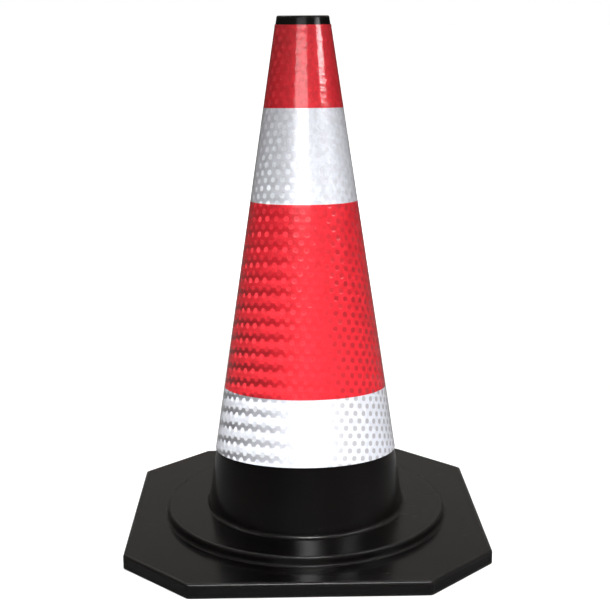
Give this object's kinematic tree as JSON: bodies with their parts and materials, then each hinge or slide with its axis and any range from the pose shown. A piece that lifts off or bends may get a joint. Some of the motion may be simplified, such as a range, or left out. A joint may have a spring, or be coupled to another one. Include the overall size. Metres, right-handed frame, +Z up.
{
  "type": "traffic cone",
  "caption": "Hollow rubber traffic cone on a round plinth and octagonal base, open collar on top, ribbed underside, wrapped in red and white reflective film bands.",
  "frame": {"origin": "on the ground under the middle of the cone", "axes": "+Z up along the cone's axis, -Y towards the front, the film's lap at +Y"},
  "size_m": [0.344, 0.344, 0.5],
  "materials": {
    "black_rubber": "moulded black rubber with a low sheen",
    "red_film": "glossy red reflective film embossed with rows of small dots",
    "white_film": "glossy silver-white reflective film embossed with rows of small dots"
  },
  "bodies": {
    "root": {"rubber_body": "black_rubber", "upper_red_film": "red_film", "upper_white_film": "white_film", "lower_red_film": "red_film", "lower_white_film": "white_film"}
  },
  "joints": []
}
